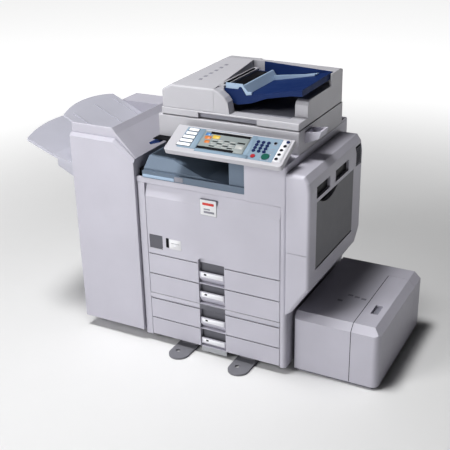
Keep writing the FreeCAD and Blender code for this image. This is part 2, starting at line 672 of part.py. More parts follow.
def finisher_trays():
    proof = Piece("proof_tray")
    far = "proof_tip - 4"
    proof.add("XZ", "trough_front + seam", "trough_back - seam", [
        ("ridge_x - 3", f"{proof_height('ridge_x - 3')} - proof_thick"),
        ("ridge_x - 3", proof_height("ridge_x - 3")),
        (far, proof_height(far)), (far, f"{proof_height(far)} - proof_thick")])
    proof.cut("XY", "proof_low", "ridge_high + 60", [
        ("proof_end", "trough_back + 1", bow("trough", "proof")), ("proof_end", "trough_front - 1"),
        ("proof_end - 60", "trough_front - 1"), ("proof_end - 60", "trough_back + 1")])
    for rib in (60, 202, 320):
        near = "ridge_x - 8"
        end = "proof_end + 12"
        proof.add("XZ", rib, f"{rib} + 7", [
            (near, f"{proof_height(near)} - 1"), (near, f"{proof_height(near)} + 3"),
            (end, f"{proof_height(end)} + 3"), (end, f"{proof_height(end)} - 1")])
    shift = Piece("shift_tray")
    shift.add("XZ", "shift_front", "shift_back", [
        (-342, 708), (-342, 722), (-380, 731), (-441, 747), (-611, 812.5), (-611, 800.5),
        (-441, 735), (-380, 717)])
    shift.cut("XY", 700, 830, [
        ("shift_end", "shift_back + 1", bow("shift", "shift")), ("shift_end", "shift_front - 1"),
        ("shift_end - 60", "shift_front - 1"), ("shift_end - 60", "shift_back + 1")])
    shift.add("XZ", "shift_front + 12", "shift_back - 12", [
        (-342, 650), (-342, 712), (-380, 720), (-436, 736), (-436, 696)])
    shift.cut("XZ", "shift_front + 20", "shift_back - 20", [
        (-350, 640), (-350, 702), (-428, 724), (-428, 640)])
    for front in (98, 358):
        shift.slab((-343, "fin_left + 12"), (front, f"{front} + 20"), (664, 700))
    bridge = Piece("bridge_unit")
    bridge.slab(("body_left", "band_left - 1"), (26, "bay_back - 125"),
                ("door_top + 1", "band_top - 3"))


# ---------------------------------------------------------------- side paper deck

def side_deck():
    casing = Piece("deck_casing")
    casing.add("XY", "deck_low", "deck_high", [
        ("deck_left", "deck_front"), ("deck_split", "deck_front"), ("deck_split", "deck_seam + 1"),
        ("deck_right", "deck_seam + 1"), ("deck_right", "deck_back"), ("deck_left", "deck_back")])
    casing.fillet(8, (at("deck_left"), at("deck_front"), ANY))
    casing.cut("YZ", "deck_left - 1", "deck_split + 1", front_bevel())
    casing.cut("XZ", "deck_seam", "deck_back + 1", side_bevel())
    casing.hollow(("deck_left + wall", "deck_split + 1"), ("deck_front + 14", "deck_seam - 10"),
                  ("deck_low + 8", "deck_high - 19"))
    door = Piece("deck_door")
    door.slab(("deck_split + 1", "deck_right"), ("deck_front", "deck_seam"), ("deck_low", "deck_high"))
    door.fillet(25, (at("deck_right"), at("deck_front"), ANY))
    door.cut("YZ", "deck_split", "deck_right + 1", front_bevel())
    door.cut("XZ", "deck_front - 1", "deck_seam + 1", side_bevel())
    door.hollow(("deck_split", "deck_right - 12"), ("deck_front + 14", "deck_seam - 8"),
                ("deck_low + 8", "deck_high - 19"))
    door.hollow((852, 880), (167, 236), ("deck_high - 13", "deck_high + 1"))
    base = Piece("deck_base")
    base.slab(("deck_left + 12", "deck_right - 20"), ("deck_front + 12", "deck_back - 12"),
              (0, "deck_low - seam"))
    plate = Piece("deck_lift_plate")
    plate.slab(("deck_left + 16", "deck_split - 6"), ("deck_front + 20", "deck_seam - 16"), (40, 44))
    plate.hollow(("deck_left + 80", "deck_left + 140"), ("deck_front + 19", "deck_front + 90"),
                 (39, 45))


def front_bevel():
    return [("deck_front - 1", "deck_high - deck_bevel - 1"),
            ("deck_front + deck_bevel + 1", "deck_high + 1"), ("deck_front - 1", "deck_high + 1")]


def side_bevel():
    return [("deck_right + 1", "deck_high - deck_bevel - 1"), ("deck_right + 1", "deck_high + 1"),
            ("deck_right - deck_bevel - 1", "deck_high + 1")]


# ---------------------------------------------------------------- feet and castors

def feet():
    members = []
    for number, left in enumerate((95, 361), 1):
        foot = Piece(f"foot_{number}", member=True)
        right = f"{left} + foot_width"
        nose = "feet_front + foot_width / 2"
        foot.add_disc("XY", 0, "foot_thick", (f"{left} + foot_width / 2", nose), "foot_width / 2")
        foot.slab((left, right), (nose, 60), (0, "foot_thick"))
        foot.cut_disc("XY", -1, "foot_thick + 1", (f"{left} + 30", -33), 9)
        foot.slab((f"{left} + 10", f"{right} - 10"), (30, 60), ("foot_thick", "base_low"))
        members.append(foot.body)
    group("stabiliser_feet", members)


def castors():
    members = []
    for x in (20, 530):
        for y in (120, 520):
            members += castor(f"castor_{x}_{y}", (x, y), "castor_radius", "base_low")
    for x in (-300, -85):
        for y in (150, 420):
            members += castor(f"finisher_castor_{-x}_{y}", (x, y), "fin_castor_radius", "fin_low")
    group("castors", members)


def build():
    base_plate()
    side_covers()
    rear_cover()
    inner_frame()
    for number in range(4):
        tray(number + 1, TRAY_LOWS[number], TRAY_TOPS[number], BAR_LOWS[number])
    front_door()
    engine_insides()
    upper_frame()
    exit_tray()
    bay_walls()
    scanner()
    side_shelf()
    power_inlet()
    adf_base()
    adf_cover()
    document_table()
    control_panel()
    keys()
    duplex()
    finisher()
    finisher_trays()
    side_deck()
    feet()
    castors()
    doc.recompute()


def check():
    """Stop on a failed object, a bad shape or a pocket that cuts nothing."""
    for item in doc.Objects:
        if "Invalid" in item.State or "Error" in item.State:
            raise RuntimeError(f"{item.Label} failed: {item.State}")
    for part in SUB_PARTS:
        if part.Shape.isNull() or not part.Shape.isValid():
            raise RuntimeError(f"{part.Label} has no valid shape")
    for item in doc.Objects:
        if item.TypeId == "PartDesign::Pocket":
            if item.BaseFeature.Shape.Volume - item.Shape.Volume < 1:
                raise RuntimeError(f"{item.Label} cuts nothing")


def write():
    os.makedirs("parts", exist_ok=True)
    for part in SUB_PARTS:
        part.Shape.exportStep(f"parts/{part.Label}.step")
    print(len(SUB_PARTS), "sub-parts written")


build()
check()
write()
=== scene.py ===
"""Looks of the photocopier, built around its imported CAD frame."""

import math

import bmesh
import bpy
from mathutils import Matrix, Vector


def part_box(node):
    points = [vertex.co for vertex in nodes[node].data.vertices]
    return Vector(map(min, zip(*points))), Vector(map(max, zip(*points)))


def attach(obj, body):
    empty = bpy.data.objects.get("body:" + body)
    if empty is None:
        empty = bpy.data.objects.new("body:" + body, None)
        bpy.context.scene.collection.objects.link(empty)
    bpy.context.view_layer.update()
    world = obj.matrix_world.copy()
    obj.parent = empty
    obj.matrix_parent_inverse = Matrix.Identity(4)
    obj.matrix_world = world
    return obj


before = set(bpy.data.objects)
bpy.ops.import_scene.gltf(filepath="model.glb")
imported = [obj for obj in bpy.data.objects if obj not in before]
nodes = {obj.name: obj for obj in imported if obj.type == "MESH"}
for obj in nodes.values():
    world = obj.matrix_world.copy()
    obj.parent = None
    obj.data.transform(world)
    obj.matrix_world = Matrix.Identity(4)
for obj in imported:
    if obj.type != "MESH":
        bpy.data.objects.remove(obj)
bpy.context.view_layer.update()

# The machine's own axes, in millimetres: X to the right, Y to the back, Z up, with the
# door's front face at Y = 0 and its left edge at X = -12.
door_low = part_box("front_door")[0]
SHIFT = Vector((door_low.x + 0.012, door_low.y, 0))
MACHINE = Matrix.Translation(SHIFT) @ Matrix.Scale(0.001, 4)
PANEL_TILT = math.radians(25.4)
PANEL = MACHINE @ Matrix.Translation((118, -60, 870)) @ Matrix.Rotation(PANEL_TILT, 4, "X")
PLANES = {"XY": (0, 1, 2), "XZ": (0, 2, 1), "YZ": (1, 2, 0)}

# Places that several pieces share, in the machine's axes.
GRIP_COLUMN = (213, 325)  # left and right edge of the grips in the drawer fronts
DRAWERS = {  # lower edge, upper edge and foot of the pull bar
    1: (316, 404, 343),
    2: (227, 316, 256),
    3: (115, 204, 141),
    4: (35, 115, 49)}
FEED_WIDTH = (161, 431)  # near and far end of the feeder's mouth
SLOPE_Y, SLOPE_Z = 100, 1060.6  # a point on the feeder cover's slope
COVER_SLOPE = 0.1067  # its rise per millimetre of depth
DECK_FRONT, DECK_TOP = 48, 255
DECK_BEVEL = 26  # size of the bevel along the deck's front edge
DECK_SPLIT = 819  # X of the seam between the deck's body and its door
RECESS_FLOOR = 586  # Y of the recesses in the rear cover

# The key pad, in the panel's own axes.
PAD_PITCH_X, PAD_PITCH_Y = 20, 15
PAD_HOLE = 7.05
PAD_KEYS = [(338 + PAD_PITCH_X * column, 58 + PAD_PITCH_Y * line)
            for line in range(4) for column in range(3)]


# ------------------------------------------------------------------ materials

def moulded(name, colour, rough=0.5, grain=1400, bump=0.05, drift=0.035, metal=0.0, shine=0.4):
    """Moulded plastic or painted steel: fine texture, slow colour drift, uneven gloss."""
    material = bpy.data.materials.new(name)
    material.use_nodes = True
    tree = material.node_tree
    shader = tree.nodes["Principled BSDF"]
    place = tree.nodes.new("ShaderNodeTexCoord")

    def noise(scale, detail):
        node = tree.nodes.new("ShaderNodeTexNoise")
        node.inputs["Scale"].default_value = scale
        node.inputs["Detail"].default_value = detail
        tree.links.new(place.outputs["Object"], node.inputs["Vector"])
        return node

    slow = noise(5, 4)
    ramp = tree.nodes.new("ShaderNodeValToRGB")
    ramp.color_ramp.elements[0].position = 0.3
    ramp.color_ramp.elements[1].position = 0.7
    ramp.color_ramp.elements[0].color = [c * (1 - drift) for c in colour] + [1]
    ramp.color_ramp.elements[1].color = [min(1, c * (1 + drift)) for c in colour] + [1]
    tree.links.new(slow.outputs["Fac"], ramp.inputs["Fac"])
    tree.links.new(ramp.outputs["Color"], shader.inputs["Base Color"])

    patchy = noise(28, 6)
    gloss = tree.nodes.new("ShaderNodeMapRange")
    gloss.inputs["To Min"].default_value = max(0.03, rough - 0.08)
    gloss.inputs["To Max"].default_value = min(1.0, rough + 0.10)
    tree.links.new(patchy.outputs["Fac"], gloss.inputs["Value"])
    tree.links.new(gloss.outputs["Result"], shader.inputs["Roughness"])

    fine = noise(grain, 2)
    rounded = tree.nodes.new("ShaderNodeBevel")
    rounded.samples = 4
    rounded.inputs["Radius"].default_value = 0.0016
    relief = tree.nodes.new("ShaderNodeBump")
    relief.inputs["Strength"].default_value = bump
    relief.inputs["Distance"].default_value = 0.0006
    tree.links.new(fine.outputs["Fac"], relief.inputs["Height"])
    tree.links.new(rounded.outputs["Normal"], relief.inputs["Normal"])
    tree.links.new(relief.outputs["Normal"], shader.inputs["Normal"])
    shader.inputs["Metallic"].default_value = metal
    shader.inputs["Specular IOR Level"].default_value = shine
    return material


SHELL = moulded("shell_lavender_grey", (0.50, 0.49, 0.55), 0.42)
# Darker copy of the shell colour for the feeder, scanner and panel: painted shade that tones down
# their tops under the lamps.
SHELL_SHADED = moulded("feeder_shell_painted_shade", (0.46, 0.455, 0.485), 0.42)
GREY = moulded("inner_grey", (0.20, 0.20, 0.23), 0.6)
# Mid grey for small parts and marks, also used as painted shade in the feeder and deck grips.
MID_GREY = moulded("mid_grey_parts_and_shade", (0.27, 0.27, 0.31), 0.5)
# Dark grey painted shade for the insides of grip recesses.
GRIP_SHADE = moulded("grip_recess_painted_shade", (0.15, 0.15, 0.17), 0.55, shine=0.2)
# Bypass tray grey, darker than the shell it is made of: painted shade of the machine's shaded right
# side.
BYPASS_SHADE = moulded("bypass_painted_shade_grey", (0.22, 0.22, 0.235), 0.55, shine=0.2)
DARK_GREY = moulded("flap_grey", (0.12, 0.12, 0.14), 0.35)
BLACK = moulded("black", (0.008, 0.008, 0.010), 0.6, shine=0.12)
WINDOW = moulded("smoked_window", (0.006, 0.006, 0.008), 0.35, bump=0.01, shine=0.15)
STEEL = moulded("zinc_steel", (0.45, 0.46, 0.48), 0.38, 500, 0.08, metal=0.8)
TRAY_BLUE = moulded("tray_blue", (0.14, 0.18, 0.235), 0.55)
PALE_BLUE = moulded("pale_blue", (0.34, 0.44, 0.57), 0.45)
NAVY = moulded("navy", (0.009, 0.028, 0.11), 0.55, shine=0.2)
RUBBER = moulded("rubber", (0.02, 0.02, 0.022), 0.8)
WHITE = moulded("key_white", (0.80, 0.80, 0.84), 0.35)
OVERLAY = moulded("panel_overlay", (0.23, 0.31, 0.39), 0.45, bump=0.02, shine=0.2)
KEY_NAVY = moulded("key_navy", (0.006, 0.018, 0.085), 0.45, shine=0.2)
KEY_GREEN = moulded("key_green", (0.004, 0.10, 0.07), 0.4, shine=0.2)
KEY_RED = moulded("key_red", (0.36, 0.02, 0.03), 0.4, shine=0.2)
LABEL = moulded("label_paper", (0.70, 0.70, 0.72), 0.55)
RED_MARK = moulded("red_mark", (0.60, 0.06, 0.05), 0.5)
LCD = moulded("display_lit", (0.26, 0.29, 0.29), 0.3, bump=0.0, shine=0.15)
LCD_ORANGE = moulded("display_orange", (0.55, 0.17, 0.03), 0.3)
LCD_YELLOW = moulded("display_yellow", (0.60, 0.42, 0.06), 0.3)
LCD_ROW = moulded("display_row", (0.42, 0.43, 0.42), 0.3)
LCD_BLUE = moulded("display_blue", (0.08, 0.20, 0.42), 0.2)
FOOT = moulded("foot_grey", (0.20, 0.20, 0.22), 0.55)
PAPER = moulded("finisher_tray_grey", (0.48, 0.48, 0.54), 0.5)


def clear_glass():
    """Platen glass: clear, with faint smears."""
    material = bpy.data.materials.new("platen_glass")
    material.use_nodes = True
    tree = material.node_tree
    shader = tree.nodes["Principled BSDF"]
    smear = tree.nodes.new("ShaderNodeTexNoise")
    smear.inputs["Scale"].default_value = 40
    spread = tree.nodes.new("ShaderNodeMapRange")
    spread.inputs["To Min"].default_value = 0.02
    spread.inputs["To Max"].default_value = 0.07
    tree.links.new(smear.outputs["Fac"], spread.inputs["Value"])
    tree.links.new(spread.outputs["Result"], shader.inputs["Roughness"])
    shader.inputs["Base Color"].default_value = (0.85, 0.92, 0.92, 1)
    shader.inputs["Transmission Weight"].default_value = 0.95
    shader.inputs["IOR"].default_value = 1.5
    return material


NODE_MATERIALS = {
    STEEL: ["base_plate", "inner_frame", "deck_lift_plate"],
    GREY: ["deck_base", "imaging_unit", "tray_1_box", "tray_2_box", "tray_3_box", "tray_4_box"],
    DARK_GREY: ["power_switch_cover"],
    BYPASS_SHADE: ["bypass_tray"],
    BLACK: ["bay_lining", "bridge_unit", "power_inlet", "scan_carriage", "toner_bottle"],
    TRAY_BLUE: ["exit_tray"],
    PAPER: ["proof_tray", "shift_tray"],
    PALE_BLUE: ["guide_front", "guide_rear"],
    NAVY: ["document_tray"],
    RUBBER: ["castors"],
    FOOT: ["stabiliser_feet"],
    clear_glass(): ["platen_glass"],
    LCD: ["display_screen"],
    KEY_GREEN: ["start_key"],
    KEY_RED: ["stop_key"],
    KEY_NAVY: [n for n in nodes if n.startswith("number_key")] + ["power_key"],
    SHELL_SHADED: ["adf_base", "adf_cover", "scanner_housing", "control_panel"],
}


def paint(node, material):
    """Give a CAD node one material in place of what it has."""
    mesh = nodes[node].data
    mesh.materials.clear()
    mesh.materials.append(material)


for node in nodes:
    paint(node, SHELL)
for material, names in NODE_MATERIALS.items():
    for node in names:
        paint(node, material)


# ------------------------------------------------------------------ pieces

def finish_piece(name, mesh_maker, material, body, base=MACHINE, bevel=0.0, smooth=30):
    """Turn a bmesh in millimetres into a piece in the row frame that rides on a body."""
    if bevel:
        bmesh.ops.bevel(mesh_maker, geom=list(mesh_maker.edges), offset=bevel, segments=2,
                        profile=0.6, affect="EDGES", clamp_overlap=True)
    bmesh.ops.recalc_face_normals(mesh_maker, faces=mesh_maker.faces)
    mesh = bpy.data.meshes.new(name)
    mesh_maker.to_mesh(mesh)
    mesh_maker.free()
    mesh.transform(base)
    for face in mesh.polygons:
        face.use_smooth = True
    mesh.set_sharp_from_angle(angle=math.radians(smooth))
    mesh.materials.append(material)
    piece = bpy.data.objects.new(name, mesh)
    bpy.context.scene.collection.objects.link(piece)
    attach(piece, body)
    return piece


def prism(name, body, material, plane, start, end, outline, bevel=0.0, base=MACHINE):
    """An outline in a plane of the machine's axes, extruded from start to end."""
    across, up, along = PLANES[plane]
    maker = bmesh.new()
    rings = []
    for depth in (start, end):
        ring = []
        for a, b in outline:
            point = [0, 0, 0]
            point[across], point[up], point[along] = a, b, depth
            ring.append(maker.verts.new(point))
        rings.append(ring)
    maker.faces.new(rings[0])
    maker.faces.new(rings[1])
    count = len(outline)
    for i in range(count):
        j = (i + 1) % count
        maker.faces.new((rings[0][i], rings[0][j], rings[1][j], rings[1][i]))
    return finish_piece(name, maker, material, body, base, bevel)


def rounded(across, up, radius=0.0, steps=4):
    """Rectangle with rounded corners, counter-clockwise."""
    (a0, a1), (b0, b1) = across, up
    if not radius:
        return [(a0, b0), (a1, b0), (a1, b1), (a0, b1)]
    points = []
    for ca, cb, first in ((a1 - radius, b0 + radius, -90), (a1 - radius, b1 - radius, 0),
                          (a0 + radius, b1 - radius, 90), (a0 + radius, b0 + radius, 180)):
        for i in range(steps + 1):
            angle = math.radians(first + 90 * i / steps)
            points.append((ca + radius * math.cos(angle), cb + radius * math.sin(angle)))
    return points


def slab(name, body, material, x, y, z, bevel=0.4):
    """A block along the machine's axes."""
    return prism(name, body, material, "XY", z[0], z[1], rounded(x, y), bevel)


def disc(name, body, material, plane, start, end, centre, radius, bevel, base, sides=32):
    """A round plate, extruded from start to end."""
    ring = [(centre[0] + radius * math.cos(2 * math.pi * i / sides),
             centre[1] + radius * math.sin(2 * math.pi * i / sides)) for i in range(sides)]
    return prism(name, body, material, plane, start, end, ring, bevel, base)


def screws(name, body, material, plane, level, spots, radius=3.5, height=1.2):
    """A row of pan-head screws on a flat face, as one piece."""
    across, up, along = PLANES[plane]
    maker = bmesh.new()
    for a, b in spots:
        for share, shrink in ((0.0, 1.0), (0.6, 0.9), (1.0, 0.5)):
            ring = []
            for i in range(16):
                angle = 2 * math.pi * i / 16
                point = [0, 0, 0]
                point[across] = a + radius * shrink * math.cos(angle)
                point[up] = b + radius * shrink * math.sin(angle)
                point[along] = level + share * height
                ring.append(maker.verts.new(point))
            if share:
                for i in range(16):
                    j = (i + 1) % 16
                    maker.faces.new((last[i], last[j], ring[j], ring[i]))
            else:
                maker.faces.new(ring)
            last = ring
        maker.faces.new(last)
    return finish_piece(name, maker, material, body)


def louvres(name, body, material, plane, level, depth, across, up, pitch, slat):
    """Parallel slanted slats across an opening, as one piece."""
    a_axis, b_axis, along = PLANES[plane]
    maker = bmesh.new()
    height = up[0]
    while height + slat < up[1]:
        corners = []
        for a in across:
            for b, d in ((height, level), (height + slat, level),
                         (height + slat * 1.5, level + depth),
                         (height + slat * 0.5, level + depth)):
                point = [0, 0, 0]
                point[a_axis], point[b_axis], point[along] = a, b, d
                corners.append(maker.verts.new(point))
        near, far = corners[:4], corners[4:]
        maker.faces.new(near)
        maker.faces.new(far)
        for i in range(4):
            j = (i + 1) % 4
            maker.faces.new((near[i], near[j], far[j], far[i]))
        height += pitch
    return finish_piece(name, maker, material, body)


def on_panel(name, material, x, y, z, radius=0.0, bevel=0.15):
    """A flat piece on the operation panel, in the panel's own axes."""
    return prism(name, "panel", material, "XY", z[0], z[1], rounded(x, y, radius), bevel, PANEL)


def holed_tile(name, material, x, y, centre, radius, reach=100.0):
    """Thin tile on the panel with a round hole in it; reach limits it round the hole."""
    thick = 0.5
    angles = {2 * math.pi * i / 24 for i in range(24)}
    angles |= {math.atan2(b - centre[1], a - centre[0]) % (2 * math.pi) for a in x for b in y}
    maker = bmesh.new()
    rings = []
    for angle in sorted(angles):
        across, up = math.cos(angle), math.sin(angle)
        limits = [reach]
        if abs(across) > 1e-6:
            limits.append((x[across > 0] - centre[0]) / across)
        if abs(up) > 1e-6:
            limits.append((y[up > 0] - centre[1]) / up)
        section = ((radius, 0), (radius, thick), (min(limits), thick), (min(limits), 0))
        rings.append([maker.verts.new((centre[0] + r * across, centre[1] + r * up, z))
                      for r, z in section])
    for i, ring in enumerate(rings):
        after = rings[(i + 1) % len(rings)]
        for k in range(4):
            nearer = (k + 1) % 4
            maker.faces.new((ring[k], after[k], after[nearer], ring[nearer]))
    return finish_piece(name, maker, material, "panel", PANEL)


# ------------------------------------------------------------------ front

# Door: blank badge, status mark and blank label, each standing a little proud of Y = 0.
for name, material, front, back, x, z, radius, bevel in (
        ("badge_edge", MID_GREY, -0.8, 8, (229.5, 300.5), (609.5, 673.5), 3, 0.2),
        ("badge_plate", LABEL, -1.6, 8, (231, 299), (611, 672), 2.5, 0.3),
        ("badge_bar", RED_MARK, -2.1, -1.5, (241, 289), (651, 661), 2, 0.2),
        ("badge_line_upper", MID_GREY, -2.0, -1.5, (246, 272), (633, 638), 1, 0.1),
        ("badge_line_lower", MID_GREY, -2.0, -1.5, (246, 290), (620, 628), 1, 0.1),
        ("status_mark", BLACK, -0.6, 0.1, (73, 85), (442, 482), 1, 0.2),
        ("door_label", LABEL, -0.4, 0.1, (88, 140), (439, 480), 2, 0.1),
        ("door_label_line", MID_GREY, -0.6, -0.3, (96, 132), (463, 465), 0, 0.1),
        ("door_label_dot", WHITE, -0.9, -0.3, (108, 120), (452, 457), 2, 0.1)):
    prism(name, "front_door", material, "XZ", front, back, rounded(x, z, radius), bevel)

# Painted cover over the fixed strip between the second and third drawers.
prism("strip_cover", "machine", SHELL, "XZ", 0.2, 1.2,
      rounded((-12, 556), (205.4, 225.6), 0.6), 0.2)
# Dark grey strip across the grip column: painted shade of the recess.
prism("strip_recess_shade", "machine", GRIP_SHADE, "XZ", 0.05, 0.6,
      rounded(GRIP_COLUMN, (205.6, 225.4), 0.6))

# Drawers: dark liner painted as the shade inside the grip recess, and paper-size window on the pull
# bar.
for number, (low, top, bar) in DRAWERS.items():
    body = f"drawer_{number}"
    recess = (GRIP_COLUMN[0] + 0.6, GRIP_COLUMN[1] - 0.6)
    prism(f"recess_shade_liner_{number}", body, GRIP_SHADE, "XZ", 16.6, 18.1,
          rounded(recess, (low + 4, top - 1)), 0.3)
    prism(f"size_window_{number}", body, BLACK, "XZ", 0.8, 1.7,
          rounded((236, 247), (bar + 12, bar + 19), 1.5), 0.2)
    prism(f"size_frame_{number}", body, WHITE, "XZ", 1.1, 1.6,
          rounded((222, 318), (bar + 4, bar + 23), 3), 0.2)

# Painted shadow: a black strip along the top of every drawer front, at either side of the grip,
# stands for the shade in the gap.
for number in DRAWERS:
    near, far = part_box(f"tray_{number}_front")
    face = (near.y - SHIFT.y) * 1000
    edge = far.z * 1000
    for side, x in (("left", (-9, GRIP_COLUMN[0] - 2)), ("right", (GRIP_COLUMN[1] + 2, 553))):
        prism(f"gap_painted_shadow_{side}_{number}", f"drawer_{number}", BLACK, "XZ",
              face - 0.1, face + 0.4, rounded(x, (edge - 1.6, edge - 0.05)))

# ------------------------------------------------------------------ duplex unit

# Smoked windows, louvred vent, and a black plate painted as the shadow behind the bypass tray.
for number, y in enumerate(((54, 178), (236, 371)), 1):
    prism(f"duplex_window_{number}", "duplex_unit", WINDOW, "YZ", 659.5, 662,
          rounded(y, (729, 770), 3), 0.5)
prism("duplex_vent_back", "duplex_unit", BLACK, "YZ", 665.5, 667,
      rounded((456, 513), (715, 792)), 0.2)
louvres("duplex_vent_slats", "duplex_unit", MID_GREY, "YZ", 667, 4, (457, 512), (717, 790), 9, 3)
prism("bypass_painted_shadow", "duplex_unit", BLACK, "YZ", 655.6, 656.6,
      rounded((56, 428), (600, 711)), 0.2)

# ------------------------------------------------------------------ inside and output bay

# Behind the door: drum cover with its levers, fuser cover with its latch, blank label.
for name, material, front, back, x, z, radius, bevel in (
        ("drum_cover", MID_GREY, 24.6, 27.2, (60, 300), (430, 600), 8, 0.6),
        ("drum_lever_left", PALE_BLUE, 23.4, 24.8, (78, 96), (470, 560), 6, 0.5),
        ("drum_lever_right", PALE_BLUE, 23.4, 24.8, (264, 282), (470, 560), 6, 0.5),
        ("fuser_cover", DARK_GREY, 24.6, 27.2, (330, 520), (430, 520), 8, 0.6),
        ("fuser_latch", PALE_BLUE, 23.4, 24.8, (410, 440), (442, 460), 5, 0.5),
        ("inner_label", LABEL, 26.4, 27.2, (90, 250), (630, 675), 2, 0.2),
        ("inner_label_mark", MID_GREY, 26.1, 26.6, (100, 240), (650, 653), 0, 0.1)):
    prism(name, "machine", material, "XZ", front, back, rounded(x, z, radius), bevel)

# Output bay: black plate painted as the shadow under the bay's ceiling, arm cover, band at the
# front, slot that the sheets leave.
slab("bay_painted_shadow", "machine", BLACK, (0, 414), (60, 454), (856, 858.2))
slab("arm_cover", "machine", BLACK, (60, 130), (58, 103), (836, 858))
prism("band_lip", "machine", PALE_BLUE, "XZ", -1.5, 0.2, rounded((-16, 122), (722, 734), 2), 0.4)
prism("band_step", "machine", MID_GREY, "XZ", -0.8, 0.2, rounded((124, 160), (723, 742), 1), 0.3)
prism("exit_slot", "machine", BLACK, "YZ", 349.2, 350.4, rounded((120, 430), (800, 838), 2), 0.2)
prism("left_guide_plate", "machine", NAVY, "XZ", 62, 168, [
    (-20, 838), (-14, 831), (30, 845), (28, 852)], 0.8)

# ------------------------------------------------------------------ document feeder

# Black mouth, pale ramp that the sheets slide up, roller slot, output mat, and a grey plate painted
# as the shade in the grip.
slab("feed_mouth", "document_tray", BLACK, (265, 318), FEED_WIDTH, (1057.6, 1058.35), 0.2)
prism("feed_ramp", "document_tray", PALE_BLUE, "XZ", FEED_WIDTH[0], FEED_WIDTH[1], [
    (318.3, 1058.3), (324.1, 1067.3), (330.3, 1067.3), (350.6, 1038.5), (350, 1037), (330, 1066),
    (324.6, 1066), (319, 1057.5)])
slab("roller_slot", "feeder", BLACK, (250, 258), (170, 420), (1066, 1070.6), 0.3)
slab("output_mat", "feeder", MID_GREY, (306, 525), (150, 438), (974, 974.8), 0.2)
slab("feeder_grip_painted_shade", "feeder", MID_GREY, (176, 414), (115, 116.2), (948.6, 966.5), 0.2)

# Printed marks in a row on the cover's slope.
MARK_DEPTH = 16
for number in range(6):
    y = 180 + number * 34
    z = SLOPE_Z + (y - SLOPE_Y) * COVER_SLOPE
    prism(f"cover_mark_{number + 1}", "feeder_cover", MID_GREY, "YZ",
          136 + number * 4, 150 + number * 4, [
              (y, z - 0.6), (y + MARK_DEPTH, z + 1.1),
              (y + MARK_DEPTH, z + 1.9), (y, z + 0.2)], 0.1)

# ------------------------------------------------------------------ operation panel

# The overlay leaves a round hole, with a margin, round every key that travels.
for name, x, y, radius in (
        ("panel_overlay_left", (44, 120.5), (22, 128), 4),
        ("panel_overlay_top", (120.5, 424), (127.5, 129.5), 0),
        ("panel_overlay_low", (120.5, 330), (14, 29.5), 0),
        ("panel_overlay_side", (306.5, 325), (29.5, 127.5), 0)):
    on_panel(name, OVERLAY, x, y, (0, 0.5), radius)
for number, (x, y) in enumerate(PAD_KEYS, 1):
    holed_tile(f"pad_overlay_{number}", OVERLAY, (x - PAD_PITCH_X / 2, x + PAD_PITCH_X / 2),
               (y - PAD_PITCH_Y / 2, y + PAD_PITCH_Y / 2), (x, y), PAD_HOLE)
holed_tile("stop_overlay", OVERLAY, (328, 355.5), (14, 50.4), (346, 32), 9.1)
holed_tile("start_overlay", OVERLAY, (376.7, 407.5), (21.7, 52.2), (392, 37), 14.95, 18.2)
for number, (x, y) in enumerate((
        ((325, 328), (14, 127.5)), ((328, 388), (110.5, 127.5)), ((388, 424), (52.4, 127.5)),
        ((355.5, 376.6), (14, 50.4)), ((376.6, 407.6), (14, 21.6)), ((407.6, 424), (14, 52.4))), 1):
    on_panel(f"pad_margin_{number}", OVERLAY, x, y, (0, 0.5), 0, 0)

# Function keys, white, each on a black rim painted as its shadow, in a column that leans to the
# left.
for number in range(5):
    y = 32 + number * 19.5
    left = 54 - (4 - number) * 3.5
    on_panel(f"function_shadow_{number + 1}", BLACK, (left - 1.5, 96), (y - 2.2, y + 14.8),
             (0.3, 0.8), 2)
    on_panel(f"function_key_{number + 1}", WHITE, (left, 94), (y, y + 13.5), (0.6, 2.0), 2)

# Display: generic blocks in place of what it says.
for name, material, x, y, z, radius in (
        ("screen_glass", LCD, (124, 303), (33, 119), (0.5, 1.4), 2),
        ("screen_frame_top", BLACK, (146, 303), (108, 119), (1.2, 2.0), 1),
        ("screen_frame_low", BLACK, (122, 268), (30.5, 41), (1.2, 2.0), 1),
        ("screen_head", LCD_BLUE, (128, 150), (98, 112), (1.2, 1.7), 3),
        ("screen_tab_1", LCD_ORANGE, (132, 158), (80, 95), (1.2, 1.7), 3),
        ("screen_tab_2", LCD_YELLOW, (161, 190), (86, 104), (1.2, 1.7), 3),
        ("screen_tab_3", LCD_ORANGE, (140, 160), (60, 74), (1.2, 1.7), 3),
        ("screen_side", BLACK, (266, 296), (78, 84), (1.2, 1.7), 0),
        ("screen_side_low", LCD_ROW, (266, 296), (52, 72), (1.2, 1.7), 0)):
    on_panel(name, material, x, y, z, radius)
for row in range(5):
    for column in range(4):
        x = 166 + column * 24 + (row % 2) * 4
        y = 46 + row * 8
        shade = LCD_ROW if (row + column) % 3 else BLACK
        on_panel(f"screen_row_{row + 1}_{column + 1}", shade, (x, x + 20), (y, y + 4.5), (1.2, 1.6))

# Small keys with rings at the right, and three legends without letters.
on_panel("panel_overlay_right", WHITE, (424, 456), (20, 128), (0, 0.3), 4)
for number, centre in enumerate(((403, 106), (441, 99), (436, 78), (436, 56), (434, 34)), 1):
    disc(f"small_key_ring_{number}", "panel", MID_GREY, "XY", 0.2, 0.7, centre, 7.2, 0.2, PANEL)
    disc(f"small_key_{number}", "panel", BLACK, "XY", 0.5, 1.8, centre, 5.2, 0.3, PANEL)
for number, y in enumerate((95, 75, 62), 1):
    on_panel(f"panel_legend_{number}", MID_GREY, (396, 412), (y, y + 2.5), (0.3, 0.8))
